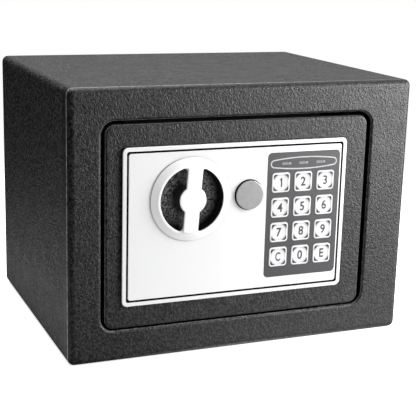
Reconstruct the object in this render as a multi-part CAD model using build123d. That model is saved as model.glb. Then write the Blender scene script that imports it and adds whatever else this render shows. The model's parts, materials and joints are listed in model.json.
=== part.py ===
from build123d import *
import os
from math import cos, radians, sin

# A small electronic safe for a hotel room: a folded steel cabinet, a hinged door with a silver
# fascia, a turning knob, a keypad and an emergency key lock, and the bolt work behind the door.
#
# Every part is modelled in millimetres with the front of the cabinet in the plane y = 0, +Y going
# into the safe, x = 0 in the middle of the cabinet and z = 0 on its base. save() then moves it
# so that the origin is the middle of the base. A (low, high) pair is a span along one axis.

# ---- cabinet ----
WIDTH, HEIGHT, DEPTH = 230.0, 170.0, 180.0
SHEET = 1.5                      # cabinet steel
FRAME_SHEET = 2.0                # front frame steel
FRAME_DEPTH = 12.0               # how far the front frame reaches back
FRONT_BEND = 3.8                 # radius of the front edges
LONG_BEND = 4.2                  # radius of the edges that run from front to back
OPENING_X, OPENING_Z = (-94.8, 86.4), (20.2, 150.3)
OPENING_CORNER = 8.5
OPENING_LIP = 1.8
FIXING_HOLE = 5.0                # radius of the holes for the floor and wall bolts
FIXING_SPACING = 120.0
WALL_FIXING_Z = 110.0
BACK_FLANGE = 10.0
MAT_THICK = 2.0

# ---- door ----
DOOR_X, DOOR_Z, DOOR_Y = (-92.7, 82.8), (21.9, 148.1), (-1.0, 3.0)
DOOR_CORNER, DOOR_EDGE = 6.0, 1.3
DOOR_BACK = DOOR_Y[1]
PIVOT_X, PIVOT_Y = 71.0, 9.0
PIN_R, BEARING_GAP = 3.0, 0.05
BRACKET_TOP, BRACKET_LOW = (151.5, 154.0), (16.0, 18.5)
BRACKET_X, BRACKET_REACH = (60.0, 84.0), 18.0
EAR_TOP, EAR_LOW = (142.0, 144.0), (26.0, 28.0)
STOP_X = (-80.0, 50.0)
STOP_GAP = 0.5
STOP_SHEET = 1.5

# ---- fascia ----
FASCIA_X, FASCIA_Z = (-82.6, 67.6), (36.0, 134.65)
FASCIA_CORNER = 3.5
FASCIA_Y = (-3.0, -1.0)
FASCIA_SPLIT = -2.6              # front of the base and back of the bright plate
PANEL_BACK = -2.0                # the keypad panel sits in a recess of the base
BEZEL_WIDTH = 2.5
PLATE_INSET = 3.8
KNOB_X, KNOB_Z = -39.3, 101.2
LOCK_X, LOCK_Z = -0.3, 101.4
CAP_HOLE = 9.8

# ---- knob ----
CUP_R, CUP_WALL = 20.8, 1.2
CUP_FLOOR = 4.5
CUP_RIM = -2.8
CUP_BOSS_R, CUP_BOSS_END = 7.0, 8.6
KNOB_BASE_R, KNOB_RIM_R, KNOB_POCKET_R = 26.0, 22.0, 20.6
KNOB_BACK, KNOB_CONE, KNOB_RIM, KNOB_FACE = -3.3, -3.8, -6.5, -8.0
BAR_WIDTH, HUB_R = 9.7, 8.6
BAR_TILT = 3.8                   # degrees, top leaning to the right
KNOB_SKIN = 0.8                  # thickness of the bright cover
SHAFT_R = 4.0
CAM_Y = (9.5, 12.0)
CRANK_R, CRANK_PIN_R = 14.0, 2.5
KNOB_TURN = 60.0                 # degrees from drawn to thrown

# ---- bolt work ----
BOLT_R, BOLT_Y, BOLT_ZS = 7.0, 14.0, (58.0, 112.0)
BOLT_TIP, BOLT_END = -91.5, -58.0
BOLT_TRAVEL = 14.0
CARRIAGE_Y = (13.0, 15.0)
CARRIAGE_X, CARRIAGE_Z = (-72.0, -14.0), (66.0, 124.0)
COLUMN_RIGHT, COLUMN_LOW = -56.0, 50.0
ARM_RIGHT, ARM_TOP = 2.0, 86.0
GUIDES = ((-64.0, 85.0), (-24.0, 76.5))
GUIDE_R, GUIDE_GAP = 2.5, 0.2
KEEPER_X, KEEPER_Z = (-99.0, -97.5), (32.0, 138.0)
KEEPER_HALF = 8.2                # the keeper's windows are square

# ---- solenoid that blocks the carriage ----
PLUNGER_X, PLUNGER_Y, PLUNGER_R = -20.0, 14.0, 3.0
SOLENOID_X, SOLENOID_Z, SOLENOID_Y = (-31.0, -9.0), (33.0, 56.0), (3.0, 23.0)
SOLENOID_SHEET = 1.5
COIL_R = 8.5
PLUNGER_TIP = 65.0
PLUNGER_STROKE = 5.0
COLLAR_Z = (59.5, 60.5)
LIFT_PIN_Z, LIFT_PIN_R = 61.5, 1.2
NOTCH_DEPTH, NOTCH_HALF = 6.0, 3.6

# ---- emergency lock ----
BARREL_R, BARREL_HEAD_R = 7.5, 8.2
BARREL_FRONT, BARREL_END = -2.6, 18.0
PLUG_R, PLUG_FRONT = 5.0, -1.2
LEVER_Y = (18.3, 20.3)
LEVER_HALF = 3.0
LEVER_TURN = 90.0
CAP_R, CAP_FRONT, CAP_BACK = 9.25, -5.0, -1.3
CAP_BORE, CAP_SKIN = 8.45, 1.6

# ---- keypad ----
PANEL_X, PANEL_Z, PANEL_CORNER = (11.85, 62.9), (46.0, 127.1), 3.0
WINDOW_W, WINDOW_H = 48.0, 78.0
KEY_XS, KEY_ZS = (21.45, 37.1, 52.8), (107.8, 91.6, 75.5, 59.3)
KEY_NAMES = (("key_1", "key_2", "key_3"), ("key_4", "key_5", "key_6"),
             ("key_7", "key_8", "key_9"), ("key_c", "key_0", "key_e"))
KEY_W, KEY_H, KEY_CORNER = 12.4, 12.7, 2.0
KEY_HOLE_GAP = 0.2
KEY_FRONT, KEY_BACK = -3.5, -0.9
KEY_FLANGE_W, KEY_FLANGE_Y = 14.0, (-1.9, -1.1)
KEY_DISH_R, KEY_DISH_DEPTH = 5.3, 0.3
LED_XS, LED_Z, LED_R = (27.4, 39.3, 51.45), 119.8, 0.8
MAT_Y, BOARD_Y = (0.6, 1.2), (1.2, 2.8)
BOARD_W, BOARD_H = 47.0, 77.0
BOARD_SCREW_X, BOARD_SCREW_Z = 20.8, 37.0

# ---- inside of the door ----
COVER_X, COVER_Z, COVER_Y = (-88.0, 61.5), (30.0, 140.0), (3.0, 34.0)
COVER_SHEET = 1.2
COVER_CORNER = 4.0
POSTS = ((-80.0, 133.0), (-80.0, 37.0), (53.0, 132.0), (-44.0, 37.0))
POST_R = 3.5
TRAY_X, TRAY_Z, TRAY_Y = (2.0, 58.0), (32.5, 92.5), (16.0, 32.0)
TRAY_WALL = 1.2
CELL_R, CELL_LENGTH = 7.2, 49.5
HATCH_X, HATCH_Z = (3.5, 56.5), (35.0, 90.0)
RESET_X, RESET_Z, RESET_R = 24.0, 122.0, 3.0
RESET_TRAVEL = 1.5
LEAD_R = 1.1


# ---- shapes used throughout ----
def middle(span):
    return (span[0] + span[1]) / 2


def length(span):
    return span[1] - span[0]


def grow(span, by):
    return (span[0] - by, span[1] + by)


def block(x, y, z):
    return Pos(middle(x), middle(y), middle(z)) * Box(length(x), length(y), length(z))


def rod_y(x, z, radius, y):
    return Pos(x, middle(y), z) * Rot(90, 0, 0) * Cylinder(radius, length(y))


def rod_z(x, y, radius, z):
    return Pos(x, y, middle(z)) * Cylinder(radius, length(z))


def rod_x(y, z, radius, x):
    return Pos(middle(x), y, z) * Rot(0, 90, 0) * Cylinder(radius, length(x))


def facing(sketch, y):
    """A drawing of the front view, x right and z up, made solid between two depths."""
    return extrude(Plane.XZ.offset(-y[0]) * sketch, amount=-length(y))


def rounded_plate(x, z, corner, y):
    outline = RectangleRounded(length(x), length(z), corner)
    return facing(Pos(middle(x), middle(z)) * outline, y)


def slot_hole(x, z, half_width, travel, y):
    """An upright-ended slot along X from (x, z) over the travel."""
    ends = rod_y(x, z, half_width, y) + rod_y(x + travel, z, half_width, y)
    return ends + block((x, x + travel), y, (z - half_width, z + half_width))


def front_edges(solid):
    return solid.faces().sort_by(Axis.Y)[0].edges()


def save(name, shape):
    placed = Pos(0, -DEPTH / 2, 0) * shape
    export_step(placed, f"parts/{name}.step")


# ---- cabinet ----
def bent_box(inset, front, back):
    """The cabinet's outline shrunk by inset, with rounded long edges, front edges and corners."""
    width, height = WIDTH - 2 * inset, HEIGHT - 2 * inset
    end_view = Pos(0, HEIGHT / 2) * RectangleRounded(width, height, LONG_BEND - inset)
    shape = facing(end_view, (front, back))
    face = shape.faces().sort_by(Axis.Y)[0]
    return fillet(face.edges(), FRONT_BEND - inset)


def front_frame():
    shell = bent_box(0, 0, FRAME_DEPTH)
    shell -= bent_box(SHEET, FRAME_SHEET, FRAME_DEPTH + 1)
    shell -= rounded_plate(OPENING_X, OPENING_Z, OPENING_CORNER, (-1, FRAME_SHEET + 1))
    face = shell.faces().filter_by(Axis.Y).sort_by(Axis.Y)[0]
    return fillet(face.inner_wires()[0].edges(), OPENING_LIP)


def fixing_points(z=0.0):
    return [(side * FIXING_SPACING / 2, z) for side in (-1, 1)]


def cabinet_wrap():
    y = (FRAME_DEPTH, DEPTH)
    outer = Pos(0, HEIGHT / 2) * RectangleRounded(WIDTH, HEIGHT, LONG_BEND)
    inner_w, inner_h = WIDTH - 2 * SHEET, HEIGHT - 2 * SHEET
    inner = Pos(0, HEIGHT / 2) * RectangleRounded(inner_w, inner_h, LONG_BEND - SHEET)
    wrap = facing(outer - inner, y)
    for x, _ in fixing_points():
        wrap -= rod_z(x, DEPTH / 2, FIXING_HOLE, (-1, SHEET + 1))
    return wrap


def back_panel():
    width, height = WIDTH - 2 * SHEET, HEIGHT - 2 * SHEET
    corner = LONG_BEND - SHEET
    outer = Pos(0, HEIGHT / 2) * RectangleRounded(width, height, corner)
    inner = Pos(0, HEIGHT / 2) * Rectangle(width - 2 * SHEET, height - 2 * SHEET)
    panel = facing(outer, (DEPTH - SHEET, DEPTH))
    panel += facing(outer - inner, (DEPTH - BACK_FLANGE, DEPTH - SHEET))
    for x, z in fixing_points(WALL_FIXING_Z):
        panel -= rod_y(x, z, FIXING_HOLE, (DEPTH - SHEET - 1, DEPTH + 1))
    return panel


def floor_mat():
    clear = 2.6
    x = grow((-WIDTH / 2, WIDTH / 2), -SHEET - clear)
    y = (FRAME_DEPTH + clear, DEPTH - BACK_FLANGE - clear)
    mat = block(x, y, (SHEET, SHEET + MAT_THICK))
    for hole_x, _ in fixing_points():
        mat -= rod_z(hole_x, DEPTH / 2, FIXING_HOLE + 3, (0, SHEET + MAT_THICK + 1))
    return mat


def hinge_brackets():
    """Two angles behind the frame, one above and one below the opening, that hold the pins."""
    y = (FRAME_SHEET, BRACKET_REACH)
    upright = (FRAME_SHEET, FRAME_SHEET + 2)
    flange = 12.0
    top = block(BRACKET_X, y, BRACKET_TOP)
    top += block(BRACKET_X, upright, (BRACKET_TOP[0], BRACKET_TOP[1] + flange))
    low = block(BRACKET_X, y, BRACKET_LOW)
    low += block(BRACKET_X, upright, (BRACKET_LOW[0] - flange, BRACKET_LOW[1]))
    hole = rod_z(PIVOT_X, PIVOT_Y, PIN_R + BEARING_GAP, (0, HEIGHT))
    return Compound(children=[top - hole, low - hole])


def door_stops():
    """Two joggled strips that the top and bottom edges of the door close against."""
    face = DOOR_BACK + STOP_GAP
    overlap, root, tail = 4.8, 1.7, 12.0
    strips = []
    for edge, inward in ((OPENING_Z[1], -1), (OPENING_Z[0], 1)):
        outer = sorted((edge - inward * tail, edge - inward * root))
        whole = sorted((edge - inward * tail, edge + inward * overlap))
        strip = block(STOP_X, (FRAME_SHEET, face), outer)
        strips.append(strip + block(STOP_X, (face, face + STOP_SHEET), whole))
    return Compound(children=strips)


def bolt_keeper():
    """The angle behind the left of the frame whose two windows the bolts are thrown into."""
    back = 26.0
    seat = (-111.0, KEEPER_X[1])
    keeper = block(seat, (FRAME_SHEET, FRAME_SHEET + STOP_SHEET), KEEPER_Z)
    keeper += block(KEEPER_X, (FRAME_SHEET, back), KEEPER_Z)
    y = grow((BOLT_Y, BOLT_Y), KEEPER_HALF)
    for z in BOLT_ZS:
        keeper -= block(grow(KEEPER_X, 1), y, grow((z, z), KEEPER_HALF))
    return keeper


# ---- door leaf and hinge ----
def window(y, extra=0.0):
    cx, cz = middle(PANEL_X), middle(PANEL_Z)
    x = grow((cx - WINDOW_W / 2, cx + WINDOW_W / 2), extra)
    z = grow((cz - WINDOW_H / 2, cz + WINDOW_H / 2), extra)
    return rounded_plate(x, z, 2.0, y)


def door_plate():
    leaf = rounded_plate(DOOR_X, DOOR_Z, DOOR_CORNER, DOOR_Y)
    leaf = fillet(front_edges(leaf), DOOR_EDGE)
    through = grow(DOOR_Y, 1)
    leaf -= rod_y(KNOB_X, KNOB_Z, CUP_R + CUP_WALL + 0.2, through)
    leaf -= rod_y(LOCK_X, LOCK_Z, BARREL_R + BEARING_GAP, through)
    leaf -= window(through)
    return leaf


def hinge_channel():
    """A channel welded up the hinge side of the door, with an ear at each end for a pin."""
    base = 1.5
    x, ear_x = (62.2, 82.0), (64.0, 80.0)
    ear_end = PIVOT_Y + 6.0
    z = (EAR_LOW[0], EAR_TOP[1])
    channel = block(x, (DOOR_BACK, DOOR_BACK + base), z)
    for ear in (EAR_LOW, EAR_TOP):
        channel += block(ear_x, (DOOR_BACK, ear_end), ear)
    return channel - rod_z(PIVOT_X, PIVOT_Y, PIN_R, (0, HEIGHT))


def hinge_pins():
    """The lower pin has a shoulder that carries the door; the upper pin has a head below."""
    tail = 2.0
    shoulder_r, head_r = 5.0, 4.5
    low = rod_z(PIVOT_X, PIVOT_Y, PIN_R, (BRACKET_LOW[0] - tail, EAR_LOW[1] + tail))
    low += rod_z(PIVOT_X, PIVOT_Y, shoulder_r, (BRACKET_LOW[1] + 0.2, EAR_LOW[0]))
    top = rod_z(PIVOT_X, PIVOT_Y, PIN_R, (EAR_TOP[0] - tail, BRACKET_TOP[1] + tail))
    top += rod_z(PIVOT_X, PIVOT_Y, head_r, (EAR_TOP[0] - tail, EAR_TOP[0]))
    return Compound(children=[low, top])


# ---- fascia ----
def fascia_outline(inset, y):
    corner = max(FASCIA_CORNER - inset, 1.5)
    return rounded_plate(grow(FASCIA_X, -inset), grow(FASCIA_Z, -inset), corner, y)


def fascia_bezel():
    edge = 0.6
    ring = fillet(front_edges(fascia_outline(0, FASCIA_Y)), edge)
    return ring - fascia_outline(BEZEL_WIDTH, grow(FASCIA_Y, 1))


def fascia_base():
    y = (FASCIA_SPLIT, FASCIA_Y[1])
    base = fascia_outline(BEZEL_WIDTH, y)
    through = grow(y, 1)
    base -= rod_y(KNOB_X, KNOB_Z, CUP_R + CUP_WALL + 0.2, through)
    base -= rod_y(LOCK_X, LOCK_Z, CAP_HOLE, through)
    base -= rounded_plate(PANEL_X, PANEL_Z, PANEL_CORNER, (FASCIA_SPLIT - 1, PANEL_BACK))
    return base - window(through)


def fascia_plate():
    y = (FASCIA_Y[0], FASCIA_SPLIT)
    edge = 0.25
    plate = fillet(front_edges(fascia_outline(PLATE_INSET, y)), edge)
    through = grow(y, 1)
    plate -= rod_y(KNOB_X, KNOB_Z, CUP_R + CUP_WALL + 0.2, through)
    plate -= rod_y(LOCK_X, LOCK_Z, CAP_HOLE, through)
    return plate - rounded_plate(PANEL_X, PANEL_Z, PANEL_CORNER, through)


# ---- knob and its drive ----
def knob_cup():
    """The black dish that the fingers reach into, with a bearing boss behind its floor."""
    outer = CUP_R + CUP_WALL
    bottom, flange_r, floor_r = CUP_FLOOR + CUP_WALL, 24.5, 3.0
    cup = rod_y(KNOB_X, KNOB_Z, outer, (CUP_RIM, bottom))
    hollow = rod_y(KNOB_X, KNOB_Z, CUP_R, (CUP_RIM - 5, CUP_FLOOR))
    cup -= fillet(hollow.edges().sort_by(Axis.Y)[-1], floor_r)
    cup += rod_y(KNOB_X, KNOB_Z, flange_r, (DOOR_BACK, DOOR_BACK + CUP_WALL)) - rod_y(
        KNOB_X, KNOB_Z, outer, grow(DOOR_Y, 3))
    cup += rod_y(KNOB_X, KNOB_Z, CUP_BOSS_R, (CUP_FLOOR, CUP_BOSS_END))
    return cup - rod_y(KNOB_X, KNOB_Z, SHAFT_R + BEARING_GAP, (0, CUP_BOSS_END + 1))


def pocket_outline(side):
    """One finger pocket in front view: the disc inside the rim, less the bar and the hub."""
    corner = 1.8
    disc = Circle(KNOB_POCKET_R)
    half = Pos(side * (BAR_WIDTH / 2 + KNOB_POCKET_R), 0)
    shape = disc & (half * Rectangle(2 * KNOB_POCKET_R, 3 * KNOB_POCKET_R))
    shape -= Circle(HUB_R)
    return fillet(shape.vertices(), corner)


def knob_form(inset):
    """The front of the knob with its surface drawn in by inset: a tapered ring and the grip."""
    base = Plane.XZ.offset(-KNOB_CONE) * Circle(KNOB_BASE_R - inset)
    rim = Plane.XZ.offset(-KNOB_RIM - inset) * Circle(KNOB_RIM_R - inset)
    grip = Rectangle(BAR_WIDTH, 2 * KNOB_POCKET_R) & Circle(KNOB_POCKET_R - inset)
    return loft([base, rim]), facing(grip + Circle(HUB_R), (KNOB_FACE + inset, KNOB_CONE))


def cut_pockets(body):
    for side in (-1, 1):
        body -= facing(pocket_outline(side), (KNOB_FACE - 1, KNOB_BACK + 1))
    return Pos(KNOB_X, 0, KNOB_Z) * Rot(0, BAR_TILT, 0) * body


def knob():
    """The black moulding: a ring joined across by a bar and hub that reach down into the cup."""
    ring, grip = knob_form(KNOB_SKIN)
    ring += facing(Circle(KNOB_BASE_R), (KNOB_CONE, KNOB_BACK))
    end_gap, bowl_r = 0.4, 3.0
    reach_r, floor = CUP_R - end_gap, CUP_FLOOR - end_gap
    stem = (Rectangle(BAR_WIDTH, 2 * reach_r) & Circle(reach_r)) + Circle(HUB_R)
    bowl = facing(Circle(reach_r), (KNOB_BACK - 2, floor))
    bowl = fillet(bowl.edges().sort_by(Axis.Y)[-1], bowl_r)
    body = ring + grip + (facing(stem, (KNOB_BACK - 0.5, floor)) & bowl)
    return cut_pockets(body - rod_y(0, 0, SHAFT_R, (-2, CUP_FLOOR + 1)))


def knob_cover():
    """The bright skin over the front of the knob."""
    rim_edge, face_edge = 0.5, 0.6
    ring, grip = knob_form(0)
    ring = fillet(ring.edges().sort_by(Axis.Y)[0], rim_edge)
    grip = fillet(front_edges(grip), face_edge)
    inner_ring, inner_grip = knob_form(KNOB_SKIN)
    skin = cut_pockets(ring + grip - inner_ring - inner_grip)
    return max(skin.solids(), key=lambda piece: piece.volume)


def knob_shaft():
    groove_r = 3.2
    shaft = rod_y(KNOB_X, KNOB_Z, SHAFT_R, (-2, CAM_Y[1]))
    ring = rod_y(KNOB_X, KNOB_Z, SHAFT_R + 1, (CUP_BOSS_END + 0.2, CAM_Y[0] - 0.1))
    return shaft - (ring - rod_y(KNOB_X, KNOB_Z, groove_r, (CUP_BOSS_END, CAM_Y[0])))


def shaft_clip():
    groove_r, clip_r = 3.2, 6.5
    y = (CUP_BOSS_END + 0.2, CAM_Y[0] - 0.1)
    clip = rod_y(KNOB_X, KNOB_Z, clip_r, y) - rod_y(KNOB_X, KNOB_Z, groove_r, grow(y, 1))
    opening = (KNOB_X - groove_r + 0.4, KNOB_X + groove_r - 0.4)
    return clip - block(opening, grow(y, 1), (KNOB_Z - 2 * clip_r, KNOB_Z))


def crank_rest():
    """The crank pin when the bolts are drawn: half the turn to the right of straight up."""
    half = radians(KNOB_TURN / 2)
    return KNOB_X + CRANK_R * sin(half), KNOB_Z + CRANK_R * cos(half)


def drive_cam():
    hub_r, tip_r = 8.0, 5.0
    pin_x, pin_z = crank_rest()
    hub, tip = Pos(KNOB_X, KNOB_Z) * Circle(hub_r), Pos(pin_x, pin_z) * Circle(tip_r)
    cam = facing(make_hull((hub + tip).edges()), CAM_Y)
    cam += rod_y(pin_x, pin_z, CRANK_PIN_R, (CAM_Y[0], CARRIAGE_Y[1] + 1.5))
    return cam - rod_y(KNOB_X, KNOB_Z, SHAFT_R, grow(CAM_Y, 1))


# ---- bolt carriage ----
def carriage_plate():
    plate = block(CARRIAGE_X, CARRIAGE_Y, CARRIAGE_Z)
    plate += block((CARRIAGE_X[0], COLUMN_RIGHT), CARRIAGE_Y, (COLUMN_LOW, CARRIAGE_Z[0]))
    plate += block((CARRIAGE_X[1], ARM_RIGHT), CARRIAGE_Y, (CARRIAGE_Z[0], ARM_TOP))
    through = grow(CARRIAGE_Y, 1)
    for x, z in GUIDES:
        plate -= slot_hole(x, z, GUIDE_R + GUIDE_GAP, BOLT_TRAVEL, through)
    pin_x, pin_z = crank_rest()
    half, rise = CRANK_PIN_R + 0.3, CRANK_R + KNOB_Z - pin_z
    low, high = pin_z - 0.5, pin_z + rise + 0.5
    plate -= rod_y(pin_x, low, half, through) + rod_y(pin_x, high, half, through)
    plate -= block((pin_x - half, pin_x + half), through, (low, high))
    for x in (PLUNGER_X, PLUNGER_X + BOLT_TRAVEL):
        notch = (CARRIAGE_Z[0] - 1, CARRIAGE_Z[0] + NOTCH_DEPTH)
        plate -= block((x - NOTCH_HALF, x + NOTCH_HALF), through, notch)
    return plate


def live_bolts():
    tip_edge = 1.2
    bolts = []
    for z in BOLT_ZS:
        bolt = rod_x(BOLT_Y, z, BOLT_R, (BOLT_TIP, BOLT_END))
        bolt = fillet(bolt.edges().sort_by(Axis.X)[0], tip_edge)
        seat = block((CARRIAGE_X[0], BOLT_END + 1), CARRIAGE_Y, (z - BOLT_R, z + BOLT_R))
        bolts.append(bolt - seat)
    return Compound(children=bolts)


def carriage_guides():
    """Shouldered posts on the door that the slots of the carriage run along."""
    foot_r, head_r = 4.0, 4.5
    posts = []
    for x, z in GUIDES:
        post = rod_y(x, z, foot_r, (DOOR_BACK, CARRIAGE_Y[0] - 0.3))
        post += rod_y(x, z, GUIDE_R, (DOOR_BACK, CARRIAGE_Y[1] + 1))
        posts.append(post + rod_y(x, z, head_r, (CARRIAGE_Y[1] + 0.3, CARRIAGE_Y[1] + 1.8)))
    return Compound(children=posts)


# ---- solenoid ----
def solenoid_frame():
    sheet = SOLENOID_SHEET
    frame = block(SOLENOID_X, (SOLENOID_Y[0], SOLENOID_Y[0] + sheet), SOLENOID_Z)
    for z in ((SOLENOID_Z[0], SOLENOID_Z[0] + sheet), (SOLENOID_Z[1] - sheet, SOLENOID_Z[1])):
        frame += block(SOLENOID_X, SOLENOID_Y, z)
    top = (SOLENOID_Z[1] - sheet - 1, SOLENOID_Z[1] + 1)
    return frame - rod_z(PLUNGER_X, PLUNGER_Y, PLUNGER_R + BEARING_GAP, top)


def solenoid_coil():
    z = grow(SOLENOID_Z, -SOLENOID_SHEET)
    cheek = 1.5
    coil = rod_z(PLUNGER_X, PLUNGER_Y, COIL_R - 0.8, z)
    for span in ((z[0], z[0] + cheek), (z[1] - cheek, z[1])):
        coil += rod_z(PLUNGER_X, PLUNGER_Y, COIL_R, span)
    return coil - rod_z(PLUNGER_X, PLUNGER_Y, PLUNGER_R + 0.3, (z[0] + cheek, z[1] + 1))


def plunger():
    collar_r, reach = 4.5, 9.0
    foot = SOLENOID_Z[0] + 5.0
    body = rod_z(PLUNGER_X, PLUNGER_Y, PLUNGER_R, (foot, PLUNGER_TIP))
    body = fillet(body.edges().sort_by(Axis.Z)[-1], 0.8)
    body += rod_z(PLUNGER_X, PLUNGER_Y, collar_r, COLLAR_Z)
    return body + rod_y(PLUNGER_X, LIFT_PIN_Z, LIFT_PIN_R, (PLUNGER_Y, PLUNGER_Y + reach))


def plunger_spring():
    """A short compression spring round the plunger, from the frame up to the collar."""
    wire, turns, gap = 0.3, 3, 0.1
    inner = PLUNGER_R + 0.35
    z0, z1 = SOLENOID_Z[1] + gap + wire, COLLAR_Z[0] - gap - wire
    path = Helix(pitch=(z1 - z0) / turns, height=z1 - z0, radius=inner + wire)
    start = Plane(origin=path @ 0, z_dir=path % 0)
    return Pos(PLUNGER_X, PLUNGER_Y, z0) * sweep(start * Circle(wire), path=path, is_frenet=True)


# ---- emergency lock ----
def lever_rest():
    """The lever's tip at rest. A quarter turn on, it has pushed the plunger's pin right down."""
    press_z = LIFT_PIN_Z + LIFT_PIN_R + 0.3 + LEVER_HALF
    across, down = LOCK_X - PLUNGER_X, LOCK_Z - press_z
    return LOCK_X - down, LOCK_Z + across


def lock_barrel():
    barrel = rod_y(LOCK_X, LOCK_Z, BARREL_HEAD_R, (BARREL_FRONT, DOOR_Y[0]))
    barrel += rod_y(LOCK_X, LOCK_Z, BARREL_R, (DOOR_Y[0], BARREL_END))
    return barrel - rod_y(LOCK_X, LOCK_Z, PLUG_R + BEARING_GAP, (BARREL_FRONT - 1, BARREL_END + 1))


def lock_nut():
    nut_y, across = (DOOR_BACK, DOOR_BACK + 4), 11.0
    nut = facing(Pos(LOCK_X, LOCK_Z) * RegularPolygon(across, 6), nut_y)
    return nut - rod_y(LOCK_X, LOCK_Z, BARREL_R, grow(nut_y, 1))


def lock_plug():
    keyway_w, keyway_h, keyway_end = 1.8, 7.0, 15.0
    plug = rod_y(LOCK_X, LOCK_Z, PLUG_R, (PLUG_FRONT, BARREL_END + 0.3))
    plug += rod_y(LOCK_X, LOCK_Z, 3.0, (BARREL_END, LEVER_Y[1] + 1))
    x = (LOCK_X - keyway_w / 2, LOCK_X + keyway_w / 2)
    z = (LOCK_Z - keyway_h / 2, LOCK_Z + keyway_h / 2)
    return plug - block(x, (PLUG_FRONT - 1, keyway_end), z)


def lock_lever():
    hub_r = 6.0
    tip_x, tip_z = lever_rest()
    hub, tip = Pos(LOCK_X, LOCK_Z) * Circle(hub_r), Pos(tip_x, tip_z) * Circle(LEVER_HALF)
    lever = facing(make_hull((hub + tip).edges()), LEVER_Y)
    return lever - rod_y(LOCK_X, LOCK_Z, 3.0, grow(LEVER_Y, 1))


def override_cap():
    edge = 0.5
    cap = rod_y(LOCK_X, LOCK_Z, CAP_R, (CAP_FRONT, CAP_BACK))
    cap = fillet(front_edges(cap), edge)
    return cap - rod_y(LOCK_X, LOCK_Z, CAP_BORE, (CAP_FRONT + CAP_SKIN, CAP_BACK + 1))


# ---- keypad ----
def keypad_screw_points():
    cx, cz = middle(PANEL_X), middle(PANEL_Z)
    return [(cx + sx * BOARD_SCREW_X, cz + sz * BOARD_SCREW_Z) for sx in (-1, 1) for sz in (-1, 1)]


def keypad_panel():
    y = (FASCIA_Y[0], PANEL_BACK)
    boss_r, screw_r = 1.9, 0.9
    panel = rounded_plate(PANEL_X, PANEL_Z, PANEL_CORNER, y)
    through = grow(y, 1)
    hole_w, hole_h = KEY_W + 2 * KEY_HOLE_GAP, KEY_H + 2 * KEY_HOLE_GAP
    hole = RectangleRounded(hole_w, hole_h, KEY_CORNER + KEY_HOLE_GAP)
    for x in KEY_XS:
        for z in KEY_ZS:
            panel -= facing(Pos(x, z) * hole, through)
    for x in LED_XS:
        panel -= rod_y(x, LED_Z, LED_R, through)
    for x, z in keypad_screw_points():
        panel += rod_y(x, z, boss_r, (y[1], MAT_Y[0]))
        panel -= rod_y(x, z, screw_r, (y[1], MAT_Y[0] + 1))
    return panel


def keypad_sheet(y, led_r):
    """A sheet the size of the circuit board, with holes for its screws and for the lamps."""
    cx, cz = middle(PANEL_X), middle(PANEL_Z)
    sheet = facing(Pos(cx, cz) * RectangleRounded(BOARD_W, BOARD_H, 2.0), y)
    for x, z in keypad_screw_points():
        sheet -= rod_y(x, z, 0.9, grow(y, 1))
    for x in LED_XS:
        sheet -= rod_y(x, LED_Z, led_r, grow(y, 1))
    return sheet


def keypad_mat():
    return keypad_sheet(MAT_Y, LED_R + 0.4)


def keypad_board():
    return keypad_sheet(BOARD_Y, LED_R)


def keypad_screws():
    head_r, shank_r, head = 1.8, 0.9, 1.2
    screws = []
    for x, z in keypad_screw_points():
        screw = rod_y(x, z, shank_r, (PANEL_BACK + 0.5, BOARD_Y[1]))
        screws.append(screw + rod_y(x, z, head_r, (BOARD_Y[1], BOARD_Y[1] + head)))
    return Compound(children=screws)


def board_parts():
    """The controller, the buzzer, a capacitor and the plug sockets on the back of the board."""
    back = BOARD_Y[1]
    chip = block((32.0, 42.0), (back, back + 2.0), (78.0, 92.0))
    buzzer = rod_y(26.0, 110.0, 5.5, (back, back + 6.0))
    capacitor = rod_y(48.0, 108.0, 3.2, (back, back + 8.0))
    power_socket = block((44.0, 54.0), (back, back + 5.0), (94.0, 99.0))
    solenoid_socket = block((17.0, 24.0), (back, back + 5.0), (94.0, 99.0))
    return Compound(children=[chip, buzzer, capacitor, power_socket, solenoid_socket])


def indicator_lamps():
    proud = 0.15
    y = (FASCIA_Y[0] - proud, BOARD_Y[1])
    return Compound(children=[rod_y(x, LED_Z, LED_R, y) for x in LED_XS])


def key(x, z):
    """A square cap with a round dished face and a flange that keeps it behind the panel."""
    edge = 0.35
    cap = facing(Pos(x, z) * RectangleRounded(KEY_W, KEY_H, KEY_CORNER), (KEY_FRONT, KEY_BACK))
    cap = fillet(front_edges(cap), edge)
    cap += facing(Pos(x, z) * Rectangle(KEY_FLANGE_W, KEY_FLANGE_W), KEY_FLANGE_Y)
    ball = (KEY_DISH_R ** 2 + KEY_DISH_DEPTH ** 2) / (2 * KEY_DISH_DEPTH)
    return cap - Pos(x, KEY_FRONT - ball + KEY_DISH_DEPTH, z) * Sphere(ball)


# ---- inside of the door ----
def inner_cover():
    """A deep tray over the bolt work, open towards the door leaf."""
    x, z, y, sheet = COVER_X, COVER_Z, COVER_Y, COVER_SHEET
    cover = rounded_plate(x, z, COVER_CORNER, y)
    cover = fillet(cover.faces().sort_by(Axis.Y)[-1].edges(), 2.0)
    hollow = rounded_plate(grow(x, -sheet), grow(z, -sheet), COVER_CORNER - sheet,
                           (y[0] - 1, y[1] - sheet))
    cover -= hollow
    for bolt_z in BOLT_ZS:
        cover -= rod_x(BOLT_Y, bolt_z, BOLT_R + 0.4, (x[0] - 1, x[0] + 3))
    skin = (y[1] - sheet - 1, y[1] + 1)
    cover -= rounded_plate(grow(HATCH_X, 0.4), grow(HATCH_Z, 0.4), 2.0, skin)
    cover -= rod_y(RESET_X, RESET_Z, RESET_R + 0.1, skin)
    for post_x, post_z in POSTS:
        cover -= rod_y(post_x, post_z, 1.6, skin)
    return cover


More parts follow.
